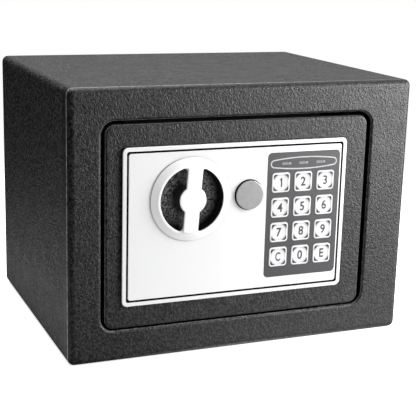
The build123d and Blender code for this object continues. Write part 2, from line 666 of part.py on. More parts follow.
def cover_posts():
    end = COVER_Y[1] - COVER_SHEET
    posts = []
    for x, z in POSTS:
        post = rod_y(x, z, POST_R, (DOOR_BACK, end))
        posts.append(post - rod_y(x, z, 1.5, (end - 8, end + 1)))
    return Compound(children=posts)


def cover_screws():
    head_r, head = 3.0, 1.6
    back = COVER_Y[1]
    screws = []
    for x, z in POSTS:
        screw = rod_y(x, z, 1.5, (back - COVER_SHEET - 7, back))
        dome = fillet(rod_y(x, z, head_r, (back, back + head)).edges().sort_by(Axis.Y)[-1], 0.8)
        cross = block((x - 1.8, x + 1.8), (back + head - 0.9, back + head + 1), (z - 0.4, z + 0.4))
        cross += block((x - 0.4, x + 0.4), (back + head - 0.9, back + head + 1), (z - 1.8, z + 1.8))
        screws.append(screw + (dome - cross))
    return Compound(children=screws)


def cell_places():
    pitch = (length(TRAY_Z) - 2 * TRAY_WALL) / 4
    return [TRAY_Z[0] + TRAY_WALL + pitch * (n + 0.5) for n in range(4)]


def battery_tray():
    tray = block(TRAY_X, TRAY_Y, TRAY_Z)
    wall = TRAY_WALL
    return tray - block(grow(TRAY_X, -wall), (TRAY_Y[0] + wall, TRAY_Y[1] + 1), grow(TRAY_Z, -wall))


def batteries():
    y = TRAY_Y[0] + TRAY_WALL + CELL_R
    middle_x = middle(TRAY_X)
    button_r, button = 2.7, 1.0
    cells = []
    for n, z in enumerate(cell_places()):
        side = 1 if n % 2 else -1
        x = (middle_x - CELL_LENGTH / 2, middle_x + CELL_LENGTH / 2)
        cell = rod_x(y, z, CELL_R, grow(x, -button / 2))
        tip = middle_x + side * CELL_LENGTH / 2
        cells.append(cell + rod_x(y, z, button_r, tuple(sorted((tip, tip - side * 2)))))
    return Compound(children=cells)


def battery_contacts():
    """Sprung plates at both ends of each pair of cells."""
    zs = cell_places()
    half, thick = 5.0, 0.5
    y = (TRAY_Y[0] + TRAY_WALL, TRAY_Y[0] + TRAY_WALL + 12)
    left = TRAY_X[0] + TRAY_WALL
    right = TRAY_X[1] - TRAY_WALL
    plates = []
    for low, high in ((zs[0], zs[1]), (zs[2], zs[3])):
        plates.append(block((left, left + thick), y, (low - half, high + half)))
    for low, high in ((zs[0], zs[0]), (zs[1], zs[2]), (zs[3], zs[3])):
        plates.append(block((right - thick, right), y, (low - half, high + half)))
    return Compound(children=plates)


def battery_cover():
    """The hatch over the batteries, flush with the inner cover, with a finger pull."""
    skin = (COVER_Y[1] - COVER_SHEET, COVER_Y[1])
    hatch = rounded_plate(HATCH_X, HATCH_Z, 1.6, skin)
    centre, top = middle(HATCH_X), HATCH_Z[1]
    pull = rounded_plate(grow((centre, centre), 8), (top - 9, top - 4), 2.4, grow(skin, 1))
    floor = (skin[0], skin[0] + 0.6)
    hatch -= pull - block(HATCH_X, floor, HATCH_Z)
    for n in range(3):
        z = HATCH_Z[0] + 5 + 3 * n
        hatch += block(grow((centre, centre), 14), (skin[1], skin[1] + 0.5), (z, z + 1.2))
    return hatch


def reset_button():
    y = (COVER_Y[1] - COVER_SHEET - 3.0, COVER_Y[1] + 2.0)
    flange = (COVER_Y[1] - COVER_SHEET - 1.2, COVER_Y[1] - COVER_SHEET - 0.2)
    button = fillet(rod_y(RESET_X, RESET_Z, RESET_R, y).edges().sort_by(Axis.Y)[-1], 0.6)
    return button + rod_y(RESET_X, RESET_Z, RESET_R + 1, flange)


def reset_switch():
    """The switch behind the button, on a stalk from the door leaf."""
    top = COVER_Y[1] - COVER_SHEET - 3.0 - RESET_TRAVEL - 0.3
    body = block((RESET_X - 4, RESET_X + 4), (top - 5, top), (RESET_Z - 4, RESET_Z + 4))
    stalk = block((RESET_X - 3, RESET_X + 3), (BOARD_Y[1], top - 5), (RESET_Z - 1, RESET_Z + 1))
    return body + stalk


def lead(points, radii):
    path = FilletPolyline(*points, radius=radii)
    start = Plane(origin=path @ 0, z_dir=path % 0)
    return sweep(start * Circle(LEAD_R), path=path)


def wiring():
    """Leads from the battery tray and from the solenoid's coil to the sockets on the board."""
    socket_z, socket_y = 96.5, BOARD_Y[1] + 5.0
    battery = [(49.0, 24.0, TRAY_Z[1]), (49.0, 24.0, socket_z), (49.0, socket_y, socket_z)]
    coil_side = (PLUNGER_X + COIL_R, PLUNGER_Y, 44.0)
    solenoid = [coil_side, (-6.0, 10.0, 44.0), (6.0, 10.0, 60.0), (20.5, 12.0, 84.0),
                (20.5, 12.0, socket_z), (20.5, socket_y, socket_z)]
    return Compound(children=[lead(battery, 2.5), lead(solenoid, 1.5)])


PARTS = [
    cabinet_wrap, front_frame, back_panel, floor_mat, hinge_brackets, door_stops, bolt_keeper,
    door_plate, hinge_channel, hinge_pins, fascia_bezel, fascia_base, fascia_plate, knob_cup,
    knob, knob_cover, knob_shaft, shaft_clip, drive_cam, carriage_plate, live_bolts,
    carriage_guides, solenoid_frame, solenoid_coil, plunger, plunger_spring, lock_barrel,
    lock_nut, lock_plug, lock_lever, override_cap, keypad_panel, keypad_mat, keypad_board,
    keypad_screws, board_parts, indicator_lamps, inner_cover, cover_posts, cover_screws,
    battery_tray, batteries, battery_contacts, battery_cover, reset_button, reset_switch, wiring,
]

os.makedirs("parts", exist_ok=True)
for make in PARTS:
    save(make.__name__, make())
for row_names, key_z in zip(KEY_NAMES, KEY_ZS):
    for key_name, key_x in zip(row_names, KEY_XS):
        save(key_name, key(key_x, key_z))
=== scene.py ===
import json
import math

import bmesh
import bpy
from mathutils import Matrix, Vector


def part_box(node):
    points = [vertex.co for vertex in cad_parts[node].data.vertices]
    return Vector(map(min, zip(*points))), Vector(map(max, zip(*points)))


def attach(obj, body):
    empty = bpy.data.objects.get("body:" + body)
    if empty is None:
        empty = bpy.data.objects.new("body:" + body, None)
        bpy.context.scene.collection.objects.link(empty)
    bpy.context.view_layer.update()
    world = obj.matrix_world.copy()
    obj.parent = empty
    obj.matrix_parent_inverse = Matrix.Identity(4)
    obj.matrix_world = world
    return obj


# An in-room safe: looks for its CAD nodes, the printing on its keys and keypad panel, and a
# white studio. Metres throughout.
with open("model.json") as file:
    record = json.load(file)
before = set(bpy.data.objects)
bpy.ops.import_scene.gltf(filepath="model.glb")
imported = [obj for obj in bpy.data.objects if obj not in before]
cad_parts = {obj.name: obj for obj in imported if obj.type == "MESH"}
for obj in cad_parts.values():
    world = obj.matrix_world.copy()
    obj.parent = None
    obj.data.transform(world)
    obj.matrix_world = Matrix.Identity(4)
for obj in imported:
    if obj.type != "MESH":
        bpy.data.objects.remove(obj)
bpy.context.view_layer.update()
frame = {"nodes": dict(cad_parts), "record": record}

MM = 0.001


def face_centre(node):
    """The x and z of the middle of a node's box, and the y of its front."""
    low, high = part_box(node)
    return (low[0] + high[0]) / 2, (low[2] + high[2]) / 2, low[1]


FASCIA_FRONT, CAP_FRONT, FRAME_FRONT, DOOR_FRONT = (
    face_centre(node)[2] for node in ("fascia_plate", "override_cap", "front_frame", "door_plate"))
KNOB_X, KNOB_Z, _ = face_centre("knob_cup")

# The opening in the frame, with its rounded lip
OPENING_X, OPENING_Z = (-95.3 * MM, 86.9 * MM), (19.7 * MM, 150.8 * MM)


# ---------------------------------------------------------------- node helpers
class Nodes:
    """A node tree with short ways to add nodes to it."""

    def __init__(self, tree):
        self.tree = tree

    def feed(self, value, socket):
        """Link value into the socket if it comes out of a node, else set it there."""
        if isinstance(value, bpy.types.NodeSocket):
            self.tree.links.new(value, socket)
        elif socket.type == "RGBA":
            socket.default_value = (*value, 1.0)
        else:
            socket.default_value = value

    def node(self, kind, **settings):
        """A new node. A setting is one of its inputs, with _ for a space, or an option."""
        made = self.tree.nodes.new(kind)
        for key, value in settings.items():
            socket = key.replace("_", " ")
            if socket in made.inputs:
                self.feed(value, made.inputs[socket])
            else:
                setattr(made, key, value)
        return made

    def math(self, operation, a, b, kind="ShaderNodeMath"):
        """A number worked out from two others."""
        made = self.node(kind, operation=operation)
        self.feed(a, made.inputs[0])
        self.feed(b, made.inputs[1])
        return made.outputs["Value"]

    def plus(self, a, b):
        return self.math("ADD", a, b)

    def times(self, a, b):
        return self.math("MULTIPLY", a, b)

    def vectors(self, operation, a, b):
        """A number worked out from two vectors."""
        return self.math(operation, a, b, "ShaderNodeVectorMath")

    def ramp(self, value, low, high, out_low=0.0, out_high=1.0):
        """From out_low to out_high as value goes from low to high, and level beyond them."""
        return self.node("ShaderNodeMapRange", Value=value, From_Min=low, From_Max=high,
                         To_Min=out_low, To_Max=out_high).outputs["Result"]

    def between(self, value, low, high, soft):
        """1 where value is between low and high, falling to 0 across soft on each side."""
        return self.times(self.ramp(value, low - soft, low + soft),
                          self.ramp(value, high - soft, high + soft, 1.0, 0.0))

    def mix(self, base, other, factor):
        """From the colour base to the colour other as factor goes from 0 to 1."""
        return self.node("ShaderNodeMix", data_type="RGBA", A=base, B=other,
                         Factor=factor).outputs["Result"]

    def point(self, stretch=(1, 1, 1)):
        """Object coordinates in metres, multiplied by stretch."""
        place = self.node("ShaderNodeTexCoord").outputs["Object"]
        return self.node("ShaderNodeMapping", Vector=place, Scale=stretch).outputs["Vector"]

    def axes(self):
        """Object x, y and z, in metres."""
        split = self.node("ShaderNodeSeparateXYZ", Vector=self.point())
        return [split.outputs[axis] for axis in "XYZ"]

    def noise(self, scale, detail=2.0, rough=0.5, distort=0.0, stretch=(1, 1, 1)):
        return self.node("ShaderNodeTexNoise", Vector=self.point(stretch), Scale=scale,
                         Detail=detail, Roughness=rough, Distortion=distort).outputs["Fac"]

    def cells(self, scale, stretch=(1, 1, 1)):
        return self.node("ShaderNodeTexVoronoi", Vector=self.point(stretch),
                         Scale=scale).outputs["Distance"]


class Shader(Nodes):
    """A material, with short ways to set and link the inputs of its Principled shader."""

    def __init__(self, name, color, rough, metal=0.0, **values):
        self.material = bpy.data.materials.new(name)
        self.material.use_nodes = True
        super().__init__(self.material.node_tree)
        self.set(Base_Color=color, Roughness=rough, Metallic=metal, **values)

    def set(self, **values):
        """Feed the shader's inputs, each named with _ for a space."""
        for name, value in values.items():
            self.feed(value, self.tree.nodes["Principled BSDF"].inputs[name.replace("_", " ")])

    def color(self, value, dark, light, low=0.3, high=0.7):
        """Base colour from dark to light as value goes from low to high."""
        made = self.mix(dark, light, self.ramp(value, low, high))
        self.set(Base_Color=made)
        return made

    def rough(self, value, smooth, dull):
        """Roughness from smooth to dull over the middle of value's range."""
        self.set(Roughness=self.ramp(value, 0.3, 0.7, smooth, dull))

    def bump(self, height, depth, strength=1.0):
        made = self.node("ShaderNodeBump", Strength=strength, Distance=depth, Height=height)
        self.set(Normal=made.outputs["Normal"])


def grey(value):
    return (value, value, value)


def darker(color):
    return tuple(0.85 * part for part in color)


# ---------------------------------------------------------------- powder coat
GRAIN_LEAN = (1.0, 1.0, 0.85)
SOFT_EDGE = 0.1 * MM
# Pale grey laid over the coat in lines: painted highlights on rounded edges, and a painted reflection
# of the floor along the base
PAINTED_HIGHLIGHT = grey(0.45)
HIGHLIGHT_HALF, BASE_HIGHLIGHT_HALF, HIGHLIGHT_SOFT = 0.35 * MM, 0.9 * MM, 0.15 * MM

# How far behind the front each painted highlight line runs, and where the gap is painted black as shade
BEND_HIGHLIGHT, LIP_HIGHLIGHT, BASE_REFLECTION, GAP_SHADE = 3.5 * MM, 0.9 * MM, 1.1 * MM, 1.5 * MM

# The distances from the knob's axis across which the cup's paint lightens into a ring of painted light
# and darkens again into painted shade
HUB_SHADE, RIM_SHADE = (8.0 * MM, 12.5 * MM), (16.5 * MM, 20.5 * MM)


def opening(look):
    """1 within the outline of the frame's opening, 0 round it."""
    x, _, z = look.axes()
    return look.times(look.between(x, *OPENING_X, SOFT_EDGE), look.between(z, *OPENING_Z, SOFT_EDGE))


def rub(look, depth, strength, place, half=HIGHLIGHT_HALF):
    """How strong a painted highlight line is at y = depth, where place is 1."""
    y = look.axes()[1]
    line = look.between(y, depth - half, depth + half, HIGHLIGHT_SOFT)
    return look.times(place, look.times(line, strength))


def rubbed(look, paint, highlight_lines):
    """Paint with the strongest of the painted highlight lines laid over it in patches, fainter at the
    far right.
    """
    total = highlight_lines[0]
    for other in highlight_lines[1:]:
        total = look.math("MAXIMUM", total, other)
    patchy = look.ramp(look.noise(500), 0.30, 0.62, 0.25, 1.0)
    fading = look.ramp(look.axes()[0], 0.0, 0.11, 1.0, 0.25)
    return look.mix(paint, PAINTED_HIGHLIGHT, look.times(total, look.times(patchy, fading)))


def frame_finish(look, paint):
    """Painted highlights at the outer bend and the opening's lip, a painted reflection of the floor
    along the base, and painted shade, black, within the gap.
    """
    x, y, z = look.axes()
    inside = opening(look)
    outside = look.math("SUBTRACT", 1.0, inside)
    # Along the base, a painted reflection of the floor
    base = look.times(look.ramp(z, 4.0 * MM, 5.0 * MM, 1.0, 0.0), look.ramp(x, -0.09, 0.0))
    paint = rubbed(look, paint, [
        rub(look, FRAME_FRONT + BEND_HIGHLIGHT, 1.0, outside),
        rub(look, FRAME_FRONT + LIP_HIGHLIGHT, 0.5, inside),
        rub(look, FRAME_FRONT + BASE_REFLECTION, 0.35, base, BASE_HIGHLIGHT_HALF),
    ])
    # Painted shade: the coat turns black within the opening from this depth back
    gap = FRAME_FRONT + GAP_SHADE
    return look.mix(paint, grey(0.0),
                    look.times(inside, look.ramp(y, gap - SOFT_EDGE, gap + SOFT_EDGE)))


def door_finish(look, paint):
    """A painted highlight line round the door's edge."""
    return rubbed(look, paint, [rub(look, DOOR_FRONT + LIP_HIGHLIGHT, 0.4, opening(look))])


def cup_finish(look, paint):
    """Pale grain only in a ring round the knob's axis, as painted light on the pocket floor, and
    painted shade, black, towards the rim and the hub.
    """
    away = look.vectors("DISTANCE", look.point((1, 0, 1)), (KNOB_X, 0.0, KNOB_Z))
    ring = look.times(look.ramp(away, *HUB_SHADE), look.ramp(away, *RIM_SHADE, 1.0, 0.0))
    return look.mix(grey(0.002), paint, ring)


def powder_coat(name, dark=0.001, light=0.030, low=0.60, high=0.90, depth=0.34 * MM,
                scale=620, stretch=GRAIN_LEAN, gloss=0.44, painted_light=None):
    """Black textured powder coat with a wrinkled leather grain, then painted light of its own laid over
    its colour, if given.
    """
    look = Shader(name, grey(dark), 0.4, Specular_IOR_Level=gloss)
    wrinkle = look.noise(scale, rough=0.6, distort=0.5, stretch=stretch)
    fine = look.noise(2.1 * scale, detail=1.0)
    height = look.plus(wrinkle, look.times(fine, 0.45))
    look.bump(height, depth)
    paint = look.color(height, grey(dark), grey(light), low, high)
    if painted_light:
        look.set(Base_Color=painted_light(look, paint))
    look.rough(look.noise(90, detail=3.0), 0.40, 0.50)
    return look.material


# ---------------------------------------------------------------- other materials
def film_over_black(look, face, depth):
    """The colour face in front, and dull black from y = depth on: painted shade on the side walls."""
    y = look.axes()[1]
    behind = look.ramp(y, depth - 0.05 * MM, depth + 0.05 * MM)
    look.set(Base_Color=look.mix(face, grey(0.006), behind),
             Specular_IOR_Level=look.ramp(behind, 0.0, 1.0, 0.5, 0.05))


def inner_black(name):
    """Near-black and almost unreflecting, painted shade for what lies in the gaps and behind the front.
    """
    look = Shader(name, grey(0.002), 0.9, Specular_IOR_Level=0.05)
    look.color(look.noise(400, detail=3.0), grey(0.0008), grey(0.003))
    look.bump(look.noise(900), 0.05 * MM, 0.6)
    return look.material


def moulded_black(name):
    """Black plastic with a fine moulded grain."""
    look = Shader(name, grey(0.018), 0.5)
    grain = look.noise(1500)
    look.bump(grain, 0.10 * MM, 0.7)
    look.color(look.noise(120, detail=3.0), grey(0.018), grey(0.0288))
    look.rough(grain, 0.40, 0.60)
    return look.material


def satin_silver(name, base=0.90, shade_from=None):
    """Pale satin silver with very fine upright brushing; given a depth, its side walls from there back
    are painted black as shade.
    """
    look = Shader(name, (base, base, base * 1.01), 0.32, 0.10)
    lines = look.noise(2600, stretch=(1.0, 1.0, 0.03))
    look.bump(lines, 0.012 * MM, 0.5)
    face = look.color(look.noise(35, detail=3.0), grey(base * 0.985), (base, base, base * 1.012))
    if shade_from is not None:
        film_over_black(look, face, shade_from)
    look.rough(lines, 0.28, 0.38)
    return look.material


def satin_grey(name, shade_from):
    """Grey paint on the face of a cap whose side walls are painted black as shade."""
    look = Shader(name, grey(0.42), 0.34, 0.25)
    face = look.color(look.noise(260, detail=3.0), grey(0.345), (0.395, 0.390, 0.393))
    film_over_black(look, face, shade_from)
    look.bump(look.noise(1400), 0.015 * MM, 0.5)
    look.rough(look.noise(600), 0.30, 0.40)
    return look.material


def white_key(name):
    """White plastic with a thin gloss."""
    look = Shader(name, (0.88, 0.88, 0.89), 0.30, Coat_Weight=0.3, Coat_Roughness=0.15)
    look.color(look.noise(160), (0.79, 0.79, 0.80), (0.84, 0.84, 0.845))
    look.bump(look.noise(1200, detail=1.0), 0.01 * MM, 0.5)
    look.rough(look.noise(500), 0.26, 0.36)
    return look.material


def panel_film(name):
    """Dark grey printed film on the keypad plate, very slightly mottled."""
    look = Shader(name, grey(0.064), 0.42)
    mottle = look.noise(700)
    look.color(mottle, (0.050, 0.049, 0.053), (0.062, 0.061, 0.068))
    look.bump(look.noise(1800, detail=1.0), 0.02 * MM, 0.5)
    look.rough(mottle, 0.38, 0.48)
    return look.material


def printed(name, color):
    """Ink, a little thin in places."""
    look = Shader(name, color, 0.45)
    look.color(look.noise(1500, detail=1.0), darker(color), color)
    look.bump(look.noise(2500, detail=1.0), 0.004 * MM, 0.4)
    return look.material


def zinc_plate(name):
    """Zinc-plated steel with a faint spangle."""
    look = Shader(name, (0.60, 0.60, 0.57), 0.36, 1.0)
    look.color(look.cells(260), (0.50, 0.51, 0.50), (0.68, 0.67, 0.62), 0.1, 0.8)
    look.rough(look.noise(300, detail=3.0), 0.28, 0.48)
    look.bump(look.noise(1200), 0.01 * MM, 0.5)
    return look.material


def bright_steel(name):
    """Steel with fine turning lines."""
    look = Shader(name, grey(0.70), 0.2, 1.0)
    turned = look.noise(1500, stretch=(0.05, 1.0, 1.0))
    look.color(look.noise(150, detail=3.0), grey(0.62), grey(0.76))
    look.rough(turned, 0.14, 0.30)
    look.bump(turned, 0.006 * MM, 0.5)
    return look.material


def turned_brass(name):
    """Brass, dulled in patches."""
    look = Shader(name, (0.70, 0.52, 0.24), 0.28, 1.0)
    look.color(look.noise(220, detail=3.0), (0.60, 0.43, 0.18), (0.76, 0.58, 0.29))
    look.rough(look.noise(900), 0.20, 0.38)
    look.bump(look.noise(2000, detail=1.0), 0.006 * MM, 0.5)
    return look.material


def felt(name):
    """Black needled felt."""
    look = Shader(name, grey(0.022), 0.95, Sheen_Weight=0.35, Sheen_Roughness=0.5)
    fibre = look.noise(1400, detail=4.0, rough=0.7, distort=2.0)
    look.color(fibre, grey(0.012), grey(0.042))
    look.bump(fibre, 0.5 * MM)
    return look.material


def rubber(name):
    """Matt grey rubber."""
    look = Shader(name, grey(0.16), 0.7)
    look.color(look.noise(300), grey(0.14), grey(0.19))
    look.bump(look.noise(1500), 0.02 * MM, 0.6)
    return look.material


def circuit_board(name):
    """Green board with darker tracks."""
    look = Shader(name, (0.02, 0.14, 0.06), 0.3)
    tracks = look.cells(420, stretch=(1.0, 1.0, 0.35))
    look.color(tracks, (0.04, 0.24, 0.10), (0.015, 0.11, 0.05), 0.10, 0.22)
    look.bump(tracks, 0.03 * MM, 0.5)
    return look.material


def cell_sleeve(name):
    """Black sleeve of a battery cell with copper-coloured bands across it."""
    look = Shader(name, (0.02, 0.025, 0.03), 0.25, 0.3)
    bands = look.noise(40, detail=0.0, stretch=(1.0, 0.02, 0.02))
    look.color(bands, (0.015, 0.016, 0.02), (0.55, 0.36, 0.10), 0.53, 0.56)
    look.rough(look.noise(500), 0.20, 0.32)
    return look.material


def coil_tape(name):
    """Yellow tape wound round the coil."""
    look = Shader(name, (0.70, 0.55, 0.10), 0.35)
    wraps = look.noise(900, detail=1.0, stretch=(0.05, 0.05, 1.0))
    look.color(wraps, (0.58, 0.42, 0.07), (0.78, 0.63, 0.16))
    look.bump(wraps, 0.05 * MM, 0.6)
    return look.material


def glossy(name, color):
    """Glossy coloured plastic."""
    look = Shader(name, color, 0.25, Coat_Weight=0.2, Coat_Roughness=0.1)
    look.color(look.noise(400), darker(color), color)
    look.bump(look.noise(1500), 0.01 * MM, 0.5)
    return look.material


def lamp_lens(name):
    """Clear plastic, a little cloudy."""
    look = Shader(name, grey(0.62), 0.2, Transmission_Weight=0.3)
    look.color(look.noise(900), grey(0.50), grey(0.70))
    return look.material


# ---------------------------------------------------------------- looks of the CAD nodes
MATERIALS = {
    "cabinet_paint": powder_coat("powder_coat"),
    "carpet": felt("floor_felt"),
    "zinc_steel": zinc_plate("zinc_plate"),
    "bright_steel": bright_steel("bright_steel"),
    # The fascia's and the cap's side walls, from the given depth back, are painted black as shade
    "fascia_bright": satin_silver("fascia_silver", shade_from=FASCIA_FRONT + 0.4 * MM),
    "black_plastic": moulded_black("black_moulding"),
    "knob_bright": satin_silver("knob_silver", base=0.98),
    "brass_metal": turned_brass("turned_brass"),
    "coil_tape": coil_tape("coil_tape"),
    "cap_grey": satin_grey("cap_grey", shade_from=CAP_FRONT + 0.45 * MM),
    "panel_grey": panel_film("panel_film"),
    "mat_rubber": rubber("mat_rubber"),
    "board_green": circuit_board("circuit_board"),
    "cell_label": cell_sleeve("cell_sleeve"),
    "red_plastic": glossy("red_moulding", (0.60, 0.02, 0.015)),
    "lead_red": glossy("lead_insulation", (0.45, 0.02, 0.015)),
    "lamp_clear": lamp_lens("lamp_lens"),
    "key_white": white_key("key_white"),
}
# The knob and its cup: black coat with pale grain flecks, kept as painted light in a ring on the pocket
# floor and turned black as painted shade towards the rim and the hub
CUP_BLACK = powder_coat("cup_black", dark=0.003, light=0.55, depth=1.0 * MM, scale=820,
                        painted_light=cup_finish)
# Near-black for the parts in the gaps: painted shade
SHADE_BLACK = inner_black("gap_shade_black")

# The nodes that look other than their slot's material
SPECIAL = {
    # The top and sides' copy of the coat: paler grain than the front's, 0.042 against 0.030, partly
    # grain and partly a painted lift of their brightness; coarser bumps too
    "cabinet_wrap": powder_coat("powder_coat_wrap", light=0.042, low=0.68, high=0.84,
                                depth=1.3 * MM, scale=520, stretch=(1.0, 0.75, 1.0), gloss=0.45),
    "front_frame": powder_coat("powder_coat_frame", painted_light=frame_finish),
    "door_plate": powder_coat("powder_coat_door", painted_light=door_finish),
    # The groove's black base, dulled further as painted shade, and the parts in the gaps, near-black as
    # painted shade
    "fascia_base": inner_black("groove_black_and_shade"),
    "knob_cup": CUP_BLACK, "knob": CUP_BLACK,
    "door_stops": SHADE_BLACK, "bolt_keeper": SHADE_BLACK,
    "hinge_channel": SHADE_BLACK, "hinge_pins": SHADE_BLACK,
}


def dress_frame():
    slots = {row["node"]: row["material_slot"] for row in frame["record"]["subparts"]}
    for name, piece in frame["nodes"].items():
        piece.data.materials.clear()
        piece.data.materials.append(SPECIAL.get(name, MATERIALS[slots[name]]))


# ---------------------------------------------------------------- mesh helpers
def add_piece(name, mesh, material, body):
    piece = bpy.data.objects.new(name, mesh)
    bpy.context.scene.collection.objects.link(piece)
    mesh.name = name
    mesh.materials.clear()
    mesh.materials.append(material)
    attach(piece, body)


def skin(bm, rings, closed):
    """Faces from each ring of points to the next, capped at the ends or closed in a loop."""
    rows = [[bm.verts.new(point) for point in ring] for ring in rings]
    for row, after in zip(rows, rows[1:] + rows[:1] if closed else rows[1:]):
        for here, there in zip(range(-1, len(row) - 1), range(len(row))):
            bm.faces.new((row[here], row[there], after[there], after[here]))
    if not closed:
        bm.faces.new(rows[0])
        bm.faces.new(rows[-1][::-1])


def solid(shapes, closed=False):
    """One mesh of several shapes, each a list of rings."""
    mesh = bpy.data.meshes.new("solid")
    bm = bmesh.new()
    for rings in shapes:
        skin(bm, rings, closed)
    bmesh.ops.recalc_face_normals(bm, faces=bm.faces)
    bm.to_mesh(mesh)
    bm.free()
    return mesh


def raised(loops, depth):
    """Closed flat loops of (x, z) points, made solid from y = 0 back to depth."""
    return solid([[[(x, y, z) for x, z in loop] for y in (0.0, depth)] for loop in loops])


def band(line, width, depth):
    """A flat ribbon of that width along a closed line of (x, z) points, made solid."""
    rings = []
    for n, (x, z) in enumerate(line):
        (ax, az), (bx, bz) = line[n - 1], line[(n + 1) % len(line)]
        along = Vector((bx - ax, bz - az)).normalized()
        out = Vector((along.y, -along.x)) * width / 2
        rings.append([(x + side * out.x, y, z + side * out.y)
                      for side, y in ((1, 0.0), (1, depth), (-1, depth), (-1, 0.0))])
    return solid([rings], closed=True)


def arc(x, z, radius, start, end, steps):
    """Points on an arc, angles in degrees anticlockwise from +X."""
    angles = [math.radians(start + (end - start) * n / steps) for n in range(steps + 1)]
    return [(x + radius * math.cos(a), z + radius * math.sin(a)) for a in angles]


# ---------------------------------------------------------------- printing on the keys
PRINT_DARK = printed("print_dark", grey(0.035))
PRINT_CORNER = printed("print_corner", grey(0.035))
PRINT_PALE = printed("print_pale", grey(0.62))
# A grey line round the edge of each key's dish, laid on like ink: painted shade where the dish curves
# in
PAINTED_DISH_SHADE = printed("dish_edge_shade", grey(0.36))
PRINT_DASH = printed("print_dash", (0.24, 0.235, 0.235))
PRINT_PROUD = 0.03 * MM

DISH_R, DISH_DEPTH = 5.3 * MM, 0.3 * MM
CORNER_HALF, CORNER_R, CORNER_DISC_R = 5.3 * MM, 1.2 * MM, 5.4 * MM
CORNER_TRIM = 7  # degrees taken off each end of a corner's inner curve
RING_R, RING_WIDTH = DISH_R - 0.45 * MM, 0.22 * MM

LEGENDS = {f"key_{n}": str(n) for n in range(10)} | {"key_c": "C", "key_e": "E"}
LEGEND_HEIGHT = 5.9 * MM
FIGURE_SQUEEZE, LETTER_SQUEEZE = 0.90, {"C": 0.68, "E": 0.80}
LETTER_HALF, LETTER_WEIGHT = 0.01, 0.021  # half thickness and added weight, per unit of size


def dish(x, z):
    """How far the dished face of a key lies behind its front, at x and z from its centre."""
    return DISH_DEPTH * (1 - (x * x + z * z) / DISH_R ** 2)


def corners_mesh():
    """The four dark corners between a key's round dish and its square outline."""
    inner = CORNER_HALF - CORNER_R
    reach = math.degrees(math.acos(CORNER_HALF / CORNER_DISC_R)) + CORNER_TRIM
    corner = arc(inner, inner, CORNER_R, 0, 90, 8) + arc(0, 0, CORNER_DISC_R, 90 - reach, reach, 12)
    turns = [Matrix.Rotation(math.radians(90 * turn), 2) for turn in range(4)]
    mesh = raised([[turn @ Vector(point) for point in corner] for turn in turns], 2 * PRINT_PROUD)
    mesh.transform(Matrix.Translation((0, -PRINT_PROUD, 0)))
    return mesh


def ring_mesh():
    """A thin grey ring near the edge of a key's dish: painted shade where the dish curves in."""
    ring = band(arc(0, 0, RING_R, 0, 360, 48)[:-1], RING_WIDTH, 2 * PRINT_PROUD)
    for v in ring.vertices:
        v.co.y += dish(v.co.x, v.co.z) - PRINT_PROUD
    return ring


def figure_one():
    """A plain figure one, a stem with a flag, lying flat in a box one unit high."""
    stem, flag_x = 0.075, -0.24
    outline = [(stem, 0.0), (stem, 1.0), (-0.03, 1.0), (flag_x, 0.81), (flag_x, 0.65),
               (-stem, 0.80), (-stem, 0.0)]
    mesh = raised([outline], 2 * LETTER_HALF)
    mesh.transform(Matrix.Translation((0, 0, LETTER_HALF)) @ Matrix.Rotation(math.radians(-90), 4, "X"))
    return mesh


def text_mesh(text):
    """Plain letters lying flat, their faces LETTER_HALF above and below."""
    curve = bpy.data.curves.new("legend", "FONT")
    curve.body = text
    curve.extrude = LETTER_HALF
    curve.offset = LETTER_WEIGHT
    holder = bpy.data.objects.new("legend_holder", curve)
    bpy.context.scene.collection.objects.link(holder)
    settled = holder.evaluated_get(bpy.context.evaluated_depsgraph_get())
    mesh = bpy.data.meshes.new_from_object(settled)
    bpy.data.objects.remove(holder)
    return mesh


def legend_mesh(text):
    """A figure or letter, stood up, scaled and laid over a key's dish."""
    mesh = figure_one() if text == "1" else text_mesh(text)
    xs, ys = [v.co.x for v in mesh.vertices], [v.co.y for v in mesh.vertices]
    scale = LEGEND_HEIGHT / (max(ys) - min(ys))
    centre_x, centre_y = (max(xs) + min(xs)) / 2, (max(ys) + min(ys)) / 2
    for v in mesh.vertices:
        x = (v.co.x - centre_x) * scale * LETTER_SQUEEZE.get(text, FIGURE_SQUEEZE)
        z = (v.co.y - centre_y) * scale
        proud = PRINT_PROUD if v.co.z > 0 else -PRINT_PROUD
        v.co = (x, dish(x, z) - proud, z)
    return mesh


def dress_key(node, legend):
    x, z, front = face_centre(node)
    # Each key gets its dark corners, its legend, and a ring of painted shade at the dish's edge
    for part, mesh, ink in (("corners", corners_mesh(), PRINT_CORNER),
                            ("legend", legend_mesh(legend), PRINT_DARK),
                            ("ring", ring_mesh(), PAINTED_DISH_SHADE)):
        mesh.transform(Matrix.Translation((x, front, z)))
        add_piece(f"{node}_{part}", mesh, ink, node)


# ---------------------------------------------------------------- printing on the keypad panel
OUTLINE_HALF, OUTLINE_END, OUTLINE_MIDDLE = 23.0 * MM, 2.3 * MM, 3.7 * MM
OUTLINE_WIDTH = 0.75 * MM
LAMP_XS, LAMP_TO_DASH = (27.4 * MM, 39.3 * MM, 51.45 * MM), 3.2 * MM
DASH_HALF, DASH_HALF_HEIGHT = 2.2 * MM, 0.85 * MM


